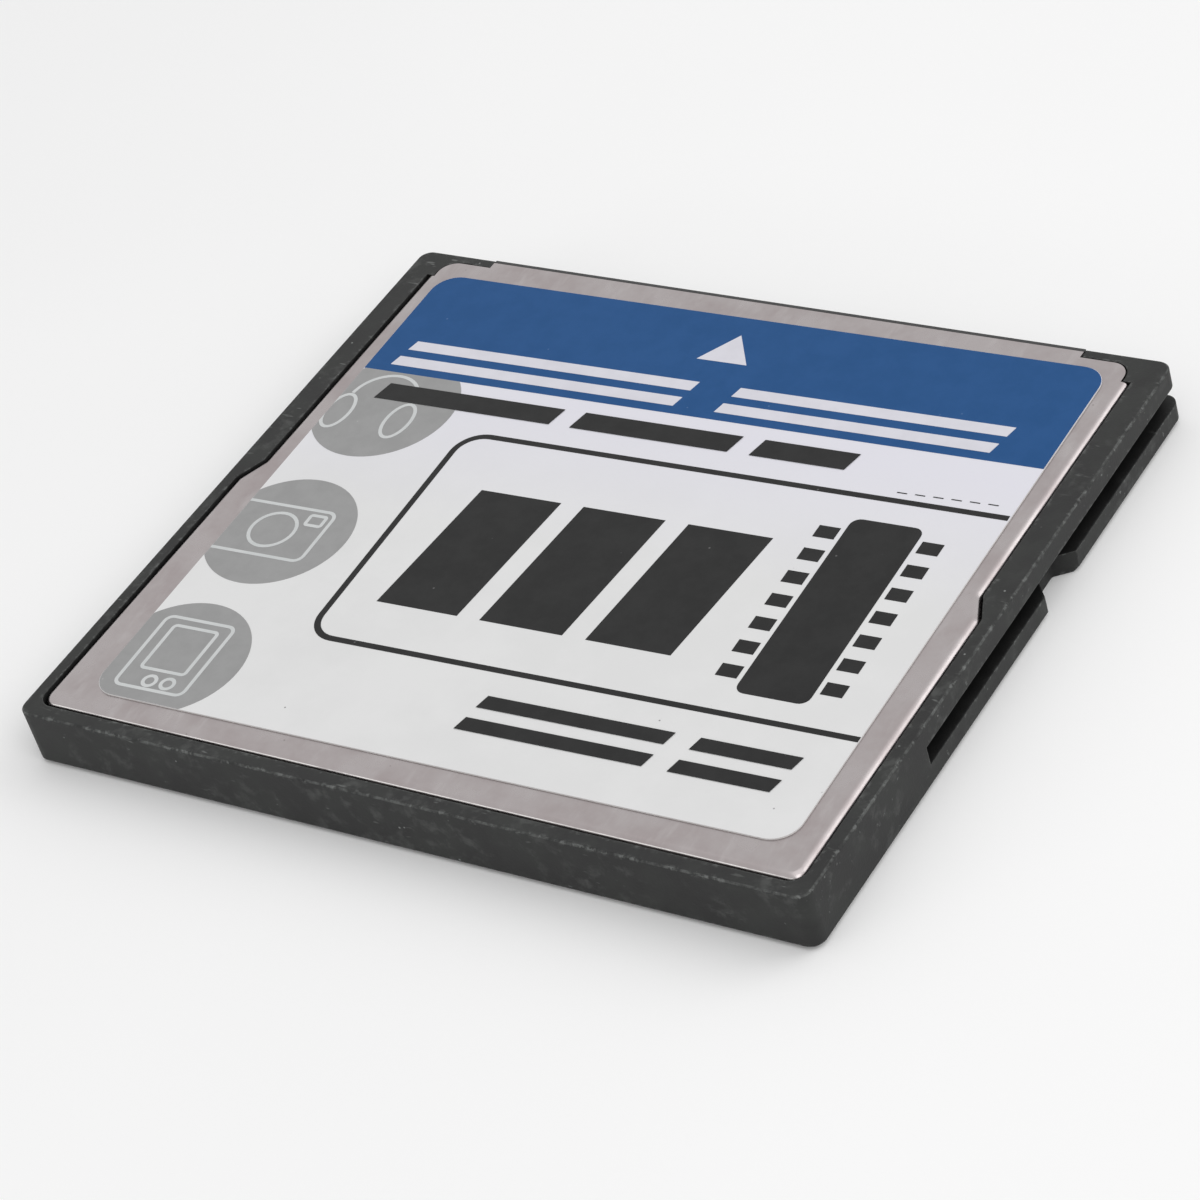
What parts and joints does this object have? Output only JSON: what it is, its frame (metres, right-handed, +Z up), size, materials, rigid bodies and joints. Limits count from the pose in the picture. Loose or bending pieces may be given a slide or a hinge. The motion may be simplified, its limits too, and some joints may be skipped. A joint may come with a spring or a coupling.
{
  "type": "flash memory card",
  "caption": "Thin removable flash memory card: black moulded frame with keyed guide slots, steel covers, a printed label and a two-row socket connector along one edge.",
  "frame": {"origin": "middle of the underside of the card", "axes": "+Y towards the connector edge that goes into the slot first, +Z up through the label, +X to the right seen from above"},
  "size_m": [0.0428, 0.0364, 0.0033],
  "materials": {
    "black_plastic": "moulded, scuffed at the edges",
    "stainless_steel": "satin rolled sheet",
    "label_film": "printed film",
    "connector_plastic": "moulded",
    "plated_contacts": "gold plated",
    "board_laminate": "solder resist",
    "chip_resin": "moulded resin",
    "tinned_leads": "tin plated",
    "capacitor_ceramic": "fired ceramic",
    "bulk_resin": "moulded resin",
    "insulating_film": "polyimide film"
  },
  "bodies": {
    "root": {"frame": "black_plastic", "top_cover": "stainless_steel", "bottom_cover": "stainless_steel", "label": "label_film", "connector_housing": "connector_plastic", "upper_contacts": "plated_contacts", "lower_contacts": "plated_contacts", "circuit_board": "board_laminate", "flash_chip_body": "chip_resin", "flash_chip_leads": "tinned_leads", "controller_body": "chip_resin", "controller_leads": "tinned_leads", "regulator_body": "chip_resin", "regulator_leads": "tinned_leads", "ceramic_capacitor_bodies": "capacitor_ceramic", "ceramic_capacitor_caps": "tinned_leads", "resistor_bodies": "chip_resin", "resistor_caps": "tinned_leads", "bulk_capacitor_body": "bulk_resin", "bulk_capacitor_terminals": "tinned_leads", "top_insulator": "insulating_film", "bottom_insulator": "insulating_film"}
  },
  "joints": []
}
